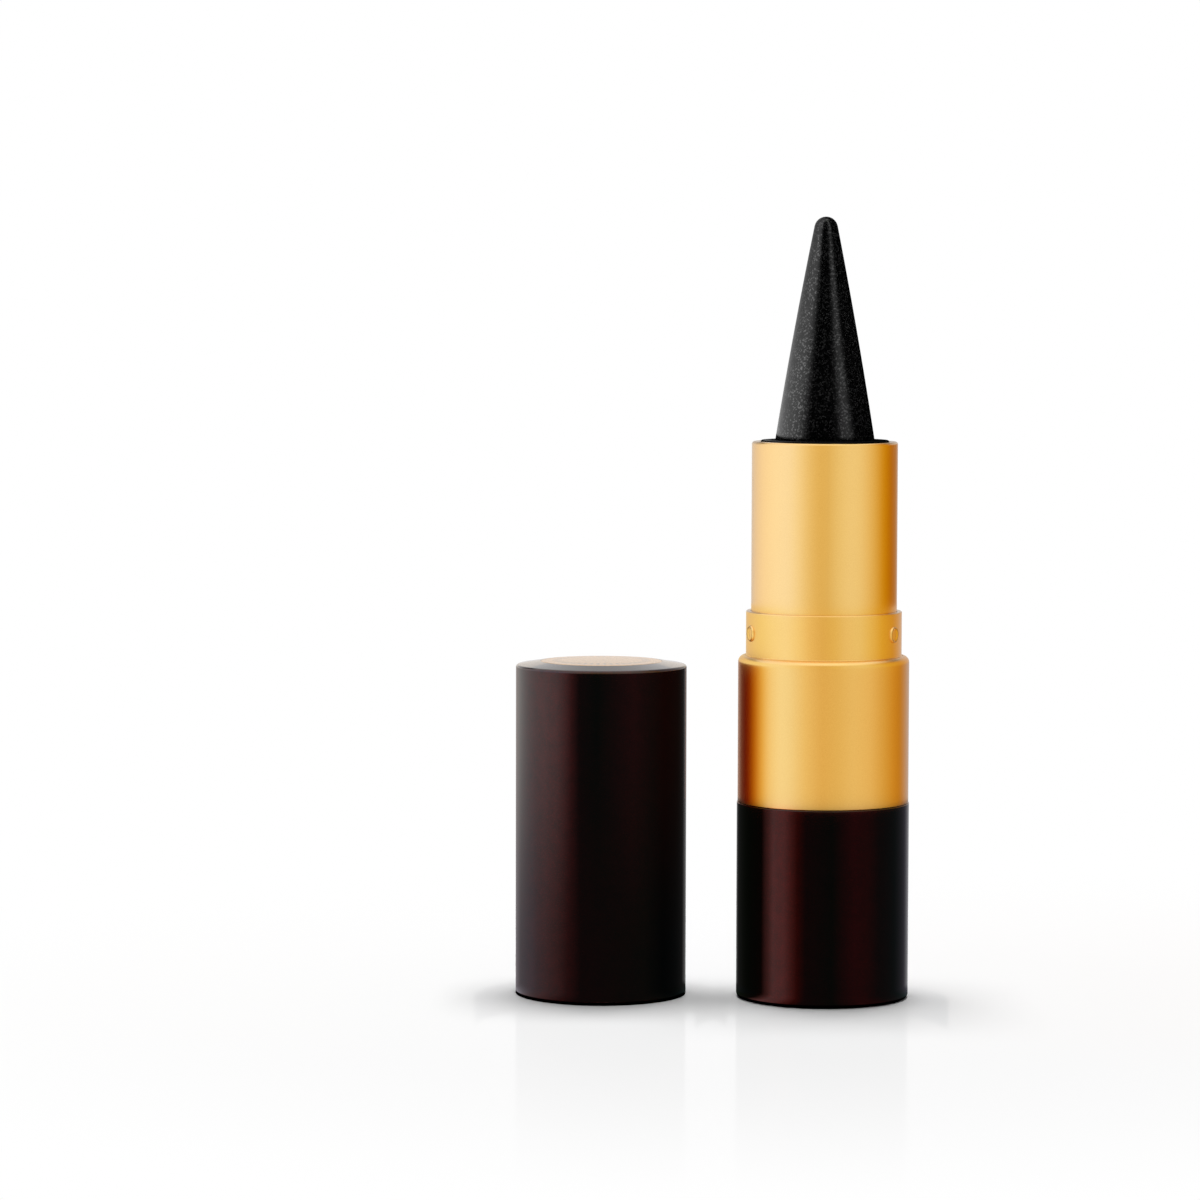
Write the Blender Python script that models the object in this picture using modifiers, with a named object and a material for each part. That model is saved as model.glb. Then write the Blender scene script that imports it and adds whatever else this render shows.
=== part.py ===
"""Twist-up eyeliner in a lipstick-type case: the stick is turned out and the cap stands beside the case.

Lengths are in metres and +Z is up. The origin is where the axis of the case meets the surface it stands on.

Turning the tube against the base drives the stick. The guide tube is fixed to the base and has two upright
slots. The spiral sleeve is fixed in the tube shell and has two helical grooves. The carrier cup's two lugs
pass through the slots into the grooves, so a turn of the tube moves the cup along the axis.
"""

import math

import bmesh
import bpy
from mathutils import Matrix

# Facets round a turned piece, along a rounded edge, and round a small pin or pad
SIDES = 48
EDGE_STEPS = 3
SMALL_SIDES = 16

# Clearances between pieces
SEAT_GAP = 0.0003
PRESSED_GAP = 0.0001
SLIDING_GAP = 0.00012
TURNING_GAP = 0.00015

# How far a cut passes beyond the wall that it opens, and the distance that joins a turned seam
CUT_OVERRUN = 0.0005
JOIN_DISTANCE = 0.000001

# Stick: a cone with a rounded tip on a round shank
STICK_RADIUS = 0.00548
STICK_REACH = 0.0246
TIP_RADIUS = 0.0013
TIP_STEPS = 5
FLANK_BULGE = 0.00007
FLANK_STEPS = 6
SHANK_CHAMFER = 0.0004

# Carrier cup and its two lugs
CUP_WALL = 0.0004
CUP_FLOOR = 0.0006
CUP_HEIGHT = 0.011
CUP_SUNK = 0.002
CUP_LEAD_IN = 0.0002
LUG_RADIUS = 0.0008
LUG_RISE = 0.002
LUG_GAP = 0.0001

# Drive: turns of the tube from out to in, and how far the tip then lies below the rim
DRIVE_TURNS = 1.5
TIP_SUNK = 0.0013

# Guide tube: slotted wall, lip over the spiral sleeve, foot flange and keyed stub
GUIDE_WALL = 0.00055
GUIDE_FLOOR = 0.0008
GUIDE_CLEARANCE = 0.001
LIP_OVERHANG = 0.00026
LIP_REACH = 0.00035
LIP_EDGE = 0.00015
STUB_RADIUS = 0.0032
STUB_LENGTH = 0.0038
STUB_SIDES = 6

# Spiral sleeve and the depth of its two grooves
SLEEVE_WALL = 0.00073
GROOVE_DEPTH = 0.0004
GROOVE_STEP = math.radians(7.5)

# Tube shell
TUBE_WALL = 0.00042
TUBE_REACH = 0.01865
TUBE_EDGE = 0.0003

# Base shell
BASE_HEIGHT = 0.02165
BASE_WALL = 0.0005
BASE_FLOOR = 0.0006
BASE_FOOT_EDGE = 0.0005
BASE_TOP_EDGE = 0.00015

# Insert in the base: skirt, partition, and the boss that holds the guide tube's stub
INSERT_WALL = 0.00073
PARTITION = 0.0012
BOSS_WALL = 0.0012
BOSS_DEPTH = 0.003

# Weight in the base
WEIGHT_HEIGHT = 0.006
WEIGHT_CHAMFER = 0.0004

# Collar: skirt, shoulder, band, and the round pads that grip the cap. Each side has a pair of pads,
# spread from the middle line of the pairs, which is turned a little from the X axis
SEAM = 0.0003
COLLAR_HEIGHT = 0.01595
COLLAR_WALL = 0.00042
COLLAR_FOOT_EDGE = 0.0002
SHOULDER_EDGE = 0.00078
BAND_HEIGHT = 0.0049
BAND_WALL = 0.0004
BAND_EDGE = 0.0003
PAD_RADIUS = 0.00095
PAD_TOP_RADIUS = 0.00078
PAD_HEIGHT = 0.0002
PAD_LEVEL = 0.00255
PAD_SPREAD = math.radians(24.2)
PAD_TURN = math.radians(-5.7)

# Cap: shell, sloped top, liner with its click groove, and inlaid disc
CAP_SPACING = 0.0245
CAP_SETBACK = 0.0019
CAP_HEIGHT = 0.03705
CAP_WALL = 0.00035
CAP_TOP_WALL = 0.0009
CAP_TOP_SLOPE = 0.0005
CAP_TOP_EDGE = 0.0003
CAP_FOOT_EDGE = 0.00012
LINER_WALL = 0.00031
LINER_TOP_WALL = 0.0008
LINER_MOUTH_GAP = 0.00012
LINER_TUBE_GAP = 0.00025
LINER_MOUTH_DEPTH = 0.0054
CLICK_DEPTH = 0.0001
CLICK_SLOPE = 0.0004
DISC_RADIUS = 0.0067
DISC_THICKNESS = 0.0004
DISC_CHAMFER = 0.00008
DISC_GAP = 0.0001

# Radii, from the stick outwards
CUP_BORE = STICK_RADIUS + PRESSED_GAP
CUP_RADIUS = CUP_BORE + CUP_WALL
GUIDE_BORE = CUP_RADIUS + SLIDING_GAP
GUIDE_RADIUS = GUIDE_BORE + GUIDE_WALL
SLEEVE_BORE = GUIDE_RADIUS + SLIDING_GAP
SLEEVE_RADIUS = SLEEVE_BORE + SLEEVE_WALL
LIP_RADIUS = SLEEVE_BORE + LIP_OVERHANG
MOUTH_RADIUS = LIP_RADIUS + SLIDING_GAP
TUBE_BORE = SLEEVE_RADIUS + PRESSED_GAP
TUBE_RADIUS = TUBE_BORE + TUBE_WALL
TURNING_BORE = TUBE_RADIUS + TURNING_GAP
BAND_RADIUS = TURNING_BORE + BAND_WALL
INSERT_RADIUS = TURNING_BORE + INSERT_WALL
BASE_BORE = INSERT_RADIUS + PRESSED_GAP
BASE_RADIUS = BASE_BORE + BASE_WALL
COLLAR_RADIUS = BASE_BORE + COLLAR_WALL
LINER_MOUTH = BAND_RADIUS + LINER_MOUTH_GAP
LINER_BORE = TUBE_RADIUS + LINER_TUBE_GAP
LINER_RADIUS = LINER_MOUTH + LINER_WALL
CAP_BORE = LINER_RADIUS + PRESSED_GAP
CAP_RADIUS = CAP_BORE + CAP_WALL

# Levels, from the foot of the case to the tip of the stick
COLLAR_FOOT = BASE_HEIGHT + SEAM
SHOULDER = COLLAR_FOOT + COLLAR_HEIGHT
BAND_TOP = SHOULDER + BAND_HEIGHT
RIM = BAND_TOP + TUBE_REACH
TIP = RIM + STICK_REACH
LIP_FOOT = RIM - TUBE_WALL
TRAVEL = STICK_REACH + TIP_SUNK
CUP_RIM = RIM - CUP_SUNK
CUP_FOOT = CUP_RIM - CUP_HEIGHT
LUG_LEVEL = CUP_FOOT + LUG_RISE
GUIDE_FLOOR_TOP = CUP_FOOT - TRAVEL - GUIDE_CLEARANCE
GUIDE_FOOT = GUIDE_FLOOR_TOP - GUIDE_FLOOR
SLEEVE_FOOT = GUIDE_FLOOR_TOP + SEAT_GAP
SLEEVE_TOP = LIP_FOOT - SEAT_GAP
PARTITION_TOP = GUIDE_FOOT - SEAT_GAP
PARTITION_FOOT = PARTITION_TOP - PARTITION
INSERT_FOOT = BASE_FLOOR + SEAT_GAP
INSERT_TOP = SHOULDER - COLLAR_WALL - SEAT_GAP

# Finishes: colour, roughness and metallic value
GOLD = ((0.83, 0.60, 0.30), 0.28, 1.0)
LACQUER = ((0.035, 0.012, 0.012), 0.12, 0.0)
BLACK_PLASTIC = ((0.02, 0.02, 0.02), 0.35, 0.0)
NATURAL_PLASTIC = ((0.75, 0.74, 0.70), 0.45, 0.0)
STEEL = ((0.55, 0.55, 0.56), 0.4, 1.0)
KOHL = ((0.02, 0.02, 0.02), 0.55, 0.0)

# Edges that turn by more than this stay crisp
CRISP_ANGLE = math.radians(35)


def clear_scene():
    """Empties the scene of its objects."""
    for item in list(bpy.data.objects):
        bpy.data.objects.remove(item, do_unlink=True)


def new_collection(name):
    """Adds a collection to the scene."""
    collection = bpy.data.collections.new(name)
    bpy.context.scene.collection.children.link(collection)
    return collection


def new_material(name, finish):
    """Makes a plain material from a colour, a roughness and a metallic value."""
    colour, roughness, metallic = finish
    material = bpy.data.materials.new(name)
    material.use_nodes = True
    shader = material.node_tree.nodes["Principled BSDF"]
    shader.inputs["Base Color"].default_value = (*colour, 1.0)
    shader.inputs["Roughness"].default_value = roughness
    shader.inputs["Metallic"].default_value = metallic
    return material


def arc(radius, level, edge, start, end, steps=EDGE_STEPS):
    """Points of an arc about (radius, level), from one angle to another in degrees, 0 pointing outwards."""
    points = []
    for i in range(steps + 1):
        angle = math.radians(start + (end - start) * i / steps)
        points.append((radius + edge * math.cos(angle), level + edge * math.sin(angle)))
    return points


def new_object(name, mesh, collection, parent=None):
    """Links a mesh as a named object, under a parent if it has one."""
    item = bpy.data.objects.new(name, mesh)
    collection.objects.link(item)
    item.parent = parent
    return item


def turned(name, outline, collection, parent=None):
    """Turns an outline about Z. It runs down the outer side, and closes on itself or at the axis."""
    count = len(outline)
    edges = [(i, i + 1) for i in range(count - 1)]
    if outline[0][0] > 0:
        edges.append((count - 1, 0))
    mesh = bpy.data.meshes.new(name)
    mesh.from_pydata([(radius, 0, level) for radius, level in outline], edges, [])
    item = new_object(name, mesh, collection, parent)
    screw = item.modifiers.new("Turn", "SCREW")
    screw.steps = SIDES
    screw.render_steps = SIDES
    screw.use_merge_vertices = True
    screw.merge_threshold = JOIN_DISTANCE
    return item


def mesh_from(bm, name):
    """Writes a bmesh to a new mesh with its faces pointing out."""
    bmesh.ops.recalc_face_normals(bm, faces=bm.faces)
    mesh = bpy.data.meshes.new(name)
    bm.to_mesh(mesh)
    bm.free()
    return mesh


def cutting_shape(name, mesh, collection):
    """Links a mesh as a guide for a Boolean, drawn as wire and left out of renders."""
    item = new_object(name, mesh, collection)
    item.display_type = "WIRE"
    item.hide_render = True
    return item


def combine(piece, other, operation):
    """Cuts a piece by another shape, or joins that shape to it."""
    boolean = piece.modifiers.new(other.name, "BOOLEAN")
    boolean.operation = operation
    boolean.object = other


def radial_studs(name, radius, tip_radius, inner, outer, level, angles, collection):
    """Round studs that point away from the axis, from an inner radius to an outer one."""
    bm = bmesh.new()
    lay_down = Matrix.Rotation(math.radians(90), 4, "Y")
    move_out = Matrix.Translation(((inner + outer) / 2, 0, level))
    for angle in angles:
        bmesh.ops.create_cone(
            bm,
            cap_ends=True,
            segments=SMALL_SIDES,
            radius1=radius,
            radius2=tip_radius,
            depth=outer - inner,
            matrix=Matrix.Rotation(angle, 4, "Z") @ move_out @ lay_down,
        )
    return cutting_shape(name, mesh_from(bm, name), collection)


def prism(name, radius, sides, low, high, collection):
    """An upright prism on the axis."""
    bm = bmesh.new()
    bmesh.ops.create_cone(
        bm,
        cap_ends=True,
        segments=sides,
        radius1=radius,
        radius2=radius,
        depth=high - low,
        matrix=Matrix.Translation((0, 0, (low + high) / 2)),
    )
    return cutting_shape(name, mesh_from(bm, name), collection)


def helical_bar(name, start, collection):
    """The bar that cuts one cam groove: it climbs from the carrier's lowest level to its highest."""
    outer = SLEEVE_BORE + GROOVE_DEPTH
    half_width = LUG_RADIUS + LUG_GAP
    lead = TRAVEL / DRIVE_TURNS
    climb = math.atan2(lead, math.tau * SLEEVE_BORE)
    half_height = half_width / math.cos(climb)
    end_angle = half_width / SLEEVE_BORE
    sweep = math.tau * DRIVE_TURNS + 2 * end_angle
    steps = round(sweep / GROOVE_STEP)
    top = LUG_LEVEL + lead * end_angle / math.tau
    low = top - lead * sweep / math.tau
    bm = bmesh.new()
    corners = []
    for radius, level in (
        (SLEEVE_BORE - CUT_OVERRUN, low - half_height),
        (outer, low - half_height),
        (outer, low + half_height),
        (SLEEVE_BORE - CUT_OVERRUN, low + half_height),
    ):
        corners.append(bm.verts.new((radius, 0, level)))
    edges = [bm.edges.new((corners[i - 1], corners[i])) for i in range(len(corners))]
    bmesh.ops.rotate(bm, verts=corners, matrix=Matrix.Rotation(start + end_angle - sweep, 3, "Z"))
    bmesh.ops.spin(
        bm,
        geom=corners + edges,
        axis=(0, 0, 1),
        dvec=(0, 0, (top - low) / steps),
        angle=sweep,
        steps=steps,
    )
    bmesh.ops.holes_fill(bm, edges=[edge for edge in bm.edges if edge.is_boundary])
    return cutting_shape(name, mesh_from(bm, name), collection)


def make_base_shell(parts):
    """Cup-shaped outer shell of the base, with a rounded foot."""
    outline = [(0, BASE_FLOOR), (BASE_BORE, BASE_FLOOR), (BASE_BORE, BASE_HEIGHT)]
    outline += arc(BASE_RADIUS - BASE_TOP_EDGE, BASE_HEIGHT - BASE_TOP_EDGE, BASE_TOP_EDGE, 90, 0, 2)
    outline += arc(BASE_RADIUS - BASE_FOOT_EDGE, BASE_FOOT_EDGE, BASE_FOOT_EDGE, 0, -90)
    outline.append((0, 0))
    return turned("base_shell", outline, parts)


def make_base_insert(parts, guides):
    """Inner body of the base: a sleeve with a partition, and a boss with a six-sided socket."""
    boss_radius = STUB_RADIUS + PRESSED_GAP + BOSS_WALL
    boss_foot = PARTITION_FOOT - BOSS_DEPTH
    outline = [
        (0, PARTITION_TOP),
        (TURNING_BORE, PARTITION_TOP),
        (TURNING_BORE, INSERT_TOP),
        (INSERT_RADIUS, INSERT_TOP),
        (INSERT_RADIUS, INSERT_FOOT),
        (TURNING_BORE, INSERT_FOOT),
        (TURNING_BORE, PARTITION_FOOT),
        (boss_radius, PARTITION_FOOT),
        (boss_radius, boss_foot),
        (0, boss_foot),
    ]
    insert = turned("base_insert", outline, parts)
    socket = prism(
        "stub_socket",
        STUB_RADIUS + PRESSED_GAP,
        STUB_SIDES,
        boss_foot - CUT_OVERRUN,
        PARTITION_TOP + CUT_OVERRUN,
        guides,
    )
    combine(insert, socket, "DIFFERENCE")
    return insert


def make_base_weight(parts):
    """Round slug that lies in the skirt of the insert, on the base's floor."""
    radius = TURNING_BORE - PRESSED_GAP
    top = INSERT_FOOT + WEIGHT_HEIGHT
    outline = [
        (0, top),
        (radius - WEIGHT_CHAMFER, top),
        (radius, top - WEIGHT_CHAMFER),
        (radius, INSERT_FOOT + WEIGHT_CHAMFER),
        (radius - WEIGHT_CHAMFER, INSERT_FOOT),
        (0, INSERT_FOOT),
    ]
    return turned("base_weight", outline, parts)


def make_collar(parts, guides):
    """Stepped ring: a skirt on the base, a rounded shoulder, and a band with raised pads."""
    outline = [(TURNING_BORE, BAND_TOP)]
    outline += arc(BAND_RADIUS - BAND_EDGE, BAND_TOP - BAND_EDGE, BAND_EDGE, 90, 0, 2)
    outline.append((BAND_RADIUS, SHOULDER))
    outline += arc(COLLAR_RADIUS - SHOULDER_EDGE, SHOULDER - SHOULDER_EDGE, SHOULDER_EDGE, 90, 0, 4)
    foot_edge_level = COLLAR_FOOT + COLLAR_FOOT_EDGE
    outline += arc(COLLAR_RADIUS - COLLAR_FOOT_EDGE, foot_edge_level, COLLAR_FOOT_EDGE, 0, -90, 2)
    outline += [
        (BASE_BORE, COLLAR_FOOT),
        (BASE_BORE, SHOULDER - COLLAR_WALL),
        (TURNING_BORE, SHOULDER - COLLAR_WALL),
    ]
    collar = turned("collar", outline, parts)
    pads = radial_studs(
        "band_pads",
        PAD_RADIUS,
        PAD_TOP_RADIUS,
        BAND_RADIUS - BAND_WALL / 2,
        BAND_RADIUS + PAD_HEIGHT,
        SHOULDER + PAD_LEVEL,
        [PAD_TURN + side + spread for side in (0, math.pi) for spread in (-PAD_SPREAD, PAD_SPREAD)],
        guides,
    )
    combine(collar, pads, "UNION")
    return collar


def make_guide_tube(parts, guides):
    """Slotted tube: its lip and flange hold the spiral sleeve, and its stub keys it to the insert."""
    lip_top = RIM + LIP_REACH
    outline = [(0, GUIDE_FLOOR_TOP), (GUIDE_BORE, GUIDE_FLOOR_TOP)]
    outline += arc(GUIDE_BORE + LIP_EDGE, lip_top - LIP_EDGE, LIP_EDGE, 180, 90, 2)
    outline += arc(LIP_RADIUS - LIP_EDGE, lip_top - LIP_EDGE, LIP_EDGE, 90, 0, 2)
    outline += [
        (LIP_RADIUS, LIP_FOOT),
        (GUIDE_RADIUS, LIP_FOOT),
        (GUIDE_RADIUS, GUIDE_FLOOR_TOP),
        (TUBE_RADIUS, GUIDE_FLOOR_TOP),
        (TUBE_RADIUS, GUIDE_FOOT),
        (0, GUIDE_FOOT),
    ]
    guide = turned("guide_tube", outline, parts)
    half_slot = LUG_RADIUS + LUG_GAP
    low = LUG_LEVEL - TRAVEL - half_slot
    high = LUG_LEVEL + half_slot
    bm = bmesh.new()
    bmesh.ops.create_cube(bm)
    bmesh.ops.scale(bm, verts=bm.verts, vec=(2 * (GUIDE_RADIUS + CUT_OVERRUN), 2 * half_slot, high - low))
    bmesh.ops.translate(bm, verts=bm.verts, vec=(0, 0, (low + high) / 2))
    slots = cutting_shape("guide_slots", mesh_from(bm, "guide_slots"), guides)
    combine(guide, slots, "DIFFERENCE")
    stub = prism(
        "guide_stub",
        STUB_RADIUS,
        STUB_SIDES,
        GUIDE_FOOT - STUB_LENGTH,
        GUIDE_FOOT + GUIDE_FLOOR / 2,
        guides,
    )
    combine(guide, stub, "UNION")
    return guide


def make_tube_shell(parts, parent):
    """Thin metal tube whose rim turns in over the spiral sleeve."""
    outline = [(MOUTH_RADIUS, RIM)]
    outline += arc(TUBE_RADIUS - TUBE_EDGE, RIM - TUBE_EDGE, TUBE_EDGE, 90, 0)
    outline += [
        (TUBE_RADIUS, SLEEVE_FOOT),
        (TUBE_BORE, SLEEVE_FOOT),
        (TUBE_BORE, LIP_FOOT),
        (MOUTH_RADIUS, LIP_FOOT),
    ]
    return turned("tube_shell", outline, parts, parent)


def make_spiral_sleeve(parts, guides, parent):
    """Sleeve with two helical cam grooves, half a turn apart."""
    outline = [
        (SLEEVE_RADIUS, SLEEVE_TOP),
        (SLEEVE_RADIUS, SLEEVE_FOOT),
        (SLEEVE_BORE, SLEEVE_FOOT),
        (SLEEVE_BORE, SLEEVE_TOP),
    ]
    sleeve = turned("spiral_sleeve", outline, parts, parent)
    for name, start in (("groove_right", 0), ("groove_left", math.pi)):
        combine(sleeve, helical_bar(name, start, guides), "DIFFERENCE")
    return sleeve


def make_carrier_cup(parts, guides, parent):
    """Cup for the stick's shank, with a lug on each side."""
    outline = [
        (0, CUP_FOOT + CUP_FLOOR),
        (CUP_BORE, CUP_FOOT + CUP_FLOOR),
        (CUP_BORE, CUP_RIM - CUP_LEAD_IN),
        (CUP_BORE + CUP_LEAD_IN, CUP_RIM),
        (CUP_RADIUS, CUP_RIM),
        (CUP_RADIUS, CUP_FOOT),
        (0, CUP_FOOT),
    ]
    cup = turned("carrier_cup", outline, parts, parent)
    lugs = radial_studs(
        "cup_lugs",
        LUG_RADIUS,
        LUG_RADIUS,
        CUP_RADIUS - CUP_WALL / 2,
        SLEEVE_BORE + GROOVE_DEPTH - LUG_GAP,
        LUG_LEVEL,
        (0, math.pi),
        guides,
    )
    combine(cup, lugs, "UNION")
    return cup


def make_stick(parts, parent):
    """Cone with a rounded tip and slightly full flanks, on a shank that stands in the cup."""
    centre = TIP - TIP_RADIUS
    drop = centre - RIM
    slope = math.atan2(STICK_RADIUS, drop) - math.asin(TIP_RADIUS / math.hypot(STICK_RADIUS, drop))
    outline = [(0, TIP)]
    outline += arc(0, centre, TIP_RADIUS, 90, math.degrees(slope), TIP_STEPS)[1:]
    start_radius, start_level = outline[-1]
    for i in range(1, FLANK_STEPS + 1):
        share = i / FLANK_STEPS
        bulge = 4 * FLANK_BULGE * share * (1 - share)
        radius = start_radius + (STICK_RADIUS - start_radius) * share + bulge
        outline.append((radius, start_level + (RIM - start_level) * share))
    foot = CUP_FOOT + CUP_FLOOR + SEAT_GAP
    outline += [
        (STICK_RADIUS, foot + SHANK_CHAMFER),
        (STICK_RADIUS - SHANK_CHAMFER, foot),
        (0, foot),
    ]
    return turned("stick", outline, parts, parent)


def make_cap_shell(parts, parent):
    """Deep drawn cap: straight side, sloped top, and a shallow seat for the disc."""
    seat_radius = DISC_RADIUS + DISC_GAP
    seat = CAP_HEIGHT - DISC_THICKNESS - DISC_GAP
    edge_level = CAP_HEIGHT - CAP_TOP_SLOPE - CAP_TOP_EDGE
    slope = math.degrees(math.atan2(CAP_TOP_SLOPE, CAP_RADIUS - seat_radius))
    outline = [(0, seat), (seat_radius, seat), (seat_radius, CAP_HEIGHT)]
    outline += arc(CAP_RADIUS - CAP_TOP_EDGE, edge_level, CAP_TOP_EDGE, 90 - slope, 0)
    outline += arc(CAP_RADIUS - CAP_FOOT_EDGE, CAP_FOOT_EDGE, CAP_FOOT_EDGE, 0, -90, 2)
    outline += [
        (CAP_BORE, 0),
        (CAP_BORE, seat - CAP_TOP_WALL),
        (0, seat - CAP_TOP_WALL),
    ]
    return turned("cap_shell", outline, parts, parent)


def make_cap_liner(parts, parent):
    """Liner of the cap: a wide mouth with the groove that clicks over the pads, and a narrower bore."""
    top = CAP_HEIGHT - DISC_THICKNESS - DISC_GAP - CAP_TOP_WALL - SEAT_GAP
    bore_top = top - LINER_TOP_WALL
    groove_radius = LINER_MOUTH + CLICK_DEPTH
    groove_low = PAD_LEVEL - PAD_RADIUS
    groove_high = PAD_LEVEL + PAD_RADIUS
    outline = [
        (0, top),
        (LINER_RADIUS, top),
        (LINER_RADIUS, SEAT_GAP),
        (groove_radius, SEAT_GAP),
        (LINER_MOUTH, SEAT_GAP + CLICK_SLOPE),
        (LINER_MOUTH, groove_low - CLICK_SLOPE),
        (groove_radius, groove_low),
        (groove_radius, groove_high),
        (LINER_MOUTH, groove_high + CLICK_SLOPE),
        (LINER_MOUTH, LINER_MOUTH_DEPTH),
        (LINER_BORE, LINER_MOUTH_DEPTH + LINER_MOUTH - LINER_BORE),
        (LINER_BORE, bore_top),
        (0, bore_top),
    ]
    return turned("cap_liner", outline, parts, parent)


def make_cap_disc(parts, parent):
    """Disc inlaid in the top of the cap."""
    foot = CAP_HEIGHT - DISC_THICKNESS
    outline = [
        (0, CAP_HEIGHT),
        (DISC_RADIUS - DISC_CHAMFER, CAP_HEIGHT),
        (DISC_RADIUS, CAP_HEIGHT - DISC_CHAMFER),
        (DISC_RADIUS, foot),
        (0, foot),
    ]
    return turned("cap_disc", outline, parts, parent)


def settle(piece, material):
    """Replaces a piece's outline and modifiers by the mesh they make, with smooth sides and crisp edges."""
    graph = bpy.context.evaluated_depsgraph_get()
    mesh = bpy.data.meshes.new_from_object(piece.evaluated_get(graph))
    piece.modifiers.clear()
    piece.data = mesh
    mesh.name = piece.name
    mesh.shade_smooth()
    mesh.set_sharp_from_angle(angle=CRISP_ANGLE)
    mesh.materials.clear()
    mesh.materials.append(material)


def main():
    clear_scene()
    parts = new_collection("twist_up_eyeliner")
    guides = new_collection("cutting_shapes")
    tube_turn = new_object("tube_turn", None, parts)
    carrier_slide = new_object("carrier_slide", None, parts)
    cap_lift = new_object("cap_lift", None, parts)
    cap_lift.location = (-CAP_SPACING, CAP_SETBACK, 0)
    pieces = (
        (make_base_shell(parts), LACQUER),
        (make_base_insert(parts, guides), BLACK_PLASTIC),
        (make_base_weight(parts), STEEL),
        (make_collar(parts, guides), GOLD),
        (make_guide_tube(parts, guides), BLACK_PLASTIC),
        (make_tube_shell(parts, tube_turn), GOLD),
        (make_spiral_sleeve(parts, guides, tube_turn), NATURAL_PLASTIC),
        (make_carrier_cup(parts, guides, carrier_slide), BLACK_PLASTIC),
        (make_stick(parts, carrier_slide), KOHL),
        (make_cap_shell(parts, cap_lift), LACQUER),
        (make_cap_liner(parts, cap_lift), BLACK_PLASTIC),
        (make_cap_disc(parts, cap_lift), GOLD),
    )
    for piece, finish in pieces:
        settle(piece, new_material(piece.name, finish))


main()
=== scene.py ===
"""Looks of the twist-up eyeliner: refined turned pieces, finishes, a white studio, and the photograph's view.

Outlines are in millimetres, and each piece is scaled to metres when it is written. +Z is up, and the camera
looks along +Y.
"""

import math

import bmesh
import bpy
from mathutils import Matrix, Vector

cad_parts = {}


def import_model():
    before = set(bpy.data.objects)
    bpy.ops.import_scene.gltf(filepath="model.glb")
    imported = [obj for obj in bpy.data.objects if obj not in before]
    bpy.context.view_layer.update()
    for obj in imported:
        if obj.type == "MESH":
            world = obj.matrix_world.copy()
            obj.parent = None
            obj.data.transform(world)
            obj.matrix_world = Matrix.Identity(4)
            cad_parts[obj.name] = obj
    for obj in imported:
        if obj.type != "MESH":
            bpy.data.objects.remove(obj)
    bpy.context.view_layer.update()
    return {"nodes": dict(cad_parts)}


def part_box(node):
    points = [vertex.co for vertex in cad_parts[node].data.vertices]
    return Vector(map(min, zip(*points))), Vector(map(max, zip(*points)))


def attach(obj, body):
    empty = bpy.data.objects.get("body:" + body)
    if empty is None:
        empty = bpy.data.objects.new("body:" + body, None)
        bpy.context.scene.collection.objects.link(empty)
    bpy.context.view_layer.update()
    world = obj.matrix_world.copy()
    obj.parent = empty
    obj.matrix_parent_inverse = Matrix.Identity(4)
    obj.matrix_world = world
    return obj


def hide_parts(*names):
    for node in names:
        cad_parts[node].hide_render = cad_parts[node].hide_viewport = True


# One millimetre in metres
MM = 0.001

# Steps round a turned piece and round the floor, and the largest turn between two faces of a rounded edge
ROUND_STEPS = 192
FLOOR_STEPS = 96
EDGE_STEP = math.radians(9)

# A rounded edge is held for this share of its reach past both ends, and points this close are joined
HOLD = 0.35
JOIN = 0.0001

# Edges between faces that meet at more than this stay crisp where the slots are cut
CRISP_ANGLE = math.radians(35)

# Edges that are barely broken, and small inner and outer ones
BROKEN_EDGE = 0.05
SMALL_EDGE = 0.1

# Walls and edges that the frame's boxes don't give
BASE_WALL = 0.5
BASE_FLOOR = 0.6
BASE_FOOT_EDGE = 0.5
BASE_TOP_EDGE = 0.06
COLLAR_WALL = 0.42
COLLAR_FOOT_EDGE = 0.08
COLLAR_SEAM = 0.03
SHOULDER_DROP = 4.9
SHOULDER_EDGE = 0.75
BAND_RADIUS = 8.57
BAND_EDGE = 0.13
BAND_ROOT = 0.08
TURNING_BORE = 8.06
PAD_RADIUS = 0.95
PAD_RISE = 0.18
PAD_SUNK = 0.15
PAD_EDGE = 0.13
PAD_DISH = 0.12
PAD_DISH_SHARE = 0.55
PAD_DISH_EDGE = 0.2
PAD_RIM_INSIDE = 0.8
PAD_RIM_OUTSIDE = 0.9
PAD_RIM_EDGE = 0.12
PAD_LEVEL = 2.55
PAD_SPREAD = math.radians(24.2)
PAD_TURN = math.radians(-5.7)
TUBE_WALL = 0.42
MOUTH_RADIUS = 7.15
TUBE_EDGE = 0.3
TUBE_CORNER = 0.08
MOUTH_EDGE = 0.12
GUIDE_BORE = 6.1
GUIDE_RADIUS = 6.65
GUIDE_LIP = 7.03
GUIDE_LIP_EDGE = 0.15
GUIDE_LIP_DROP = 0.77
GUIDE_LIP_SUNK = 0.2
GUIDE_FLOOR = 0.8
GUIDE_FLOOR_EDGE = 0.15
FLANGE_EDGE = 0.08
STUB_RADIUS = 3.2
STUB_LENGTH = 3.8
STUB_EDGE = 0.3
SLOT_WIDTH = 1.8
SLOT_FOOT = 2.1
SLOT_TOP = 29.8
STICK_TIP = 1.3
STICK_FLARE = 0.12
STICK_CHAMFER = 0.4
STICK_SHANK_DROP = 0.1
FLARE_STEPS = 24
CAP_WALL = 0.35
CAP_SLOPE = 0.42
CAP_TOP_EDGE = 0.3
CAP_FOOT_EDGE = 0.12
CAP_SEAT = 6.72
CAP_SEAT_DEPTH = 0.5
CAP_SEAT_EDGE = 0.06
CAP_TOP_WALL = 0.9
CAP_CORNER = 0.2
LINER_MOUTH = 8.69
LINER_BORE = 8.27
LINER_MOUTH_DEPTH = 5.4
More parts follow.
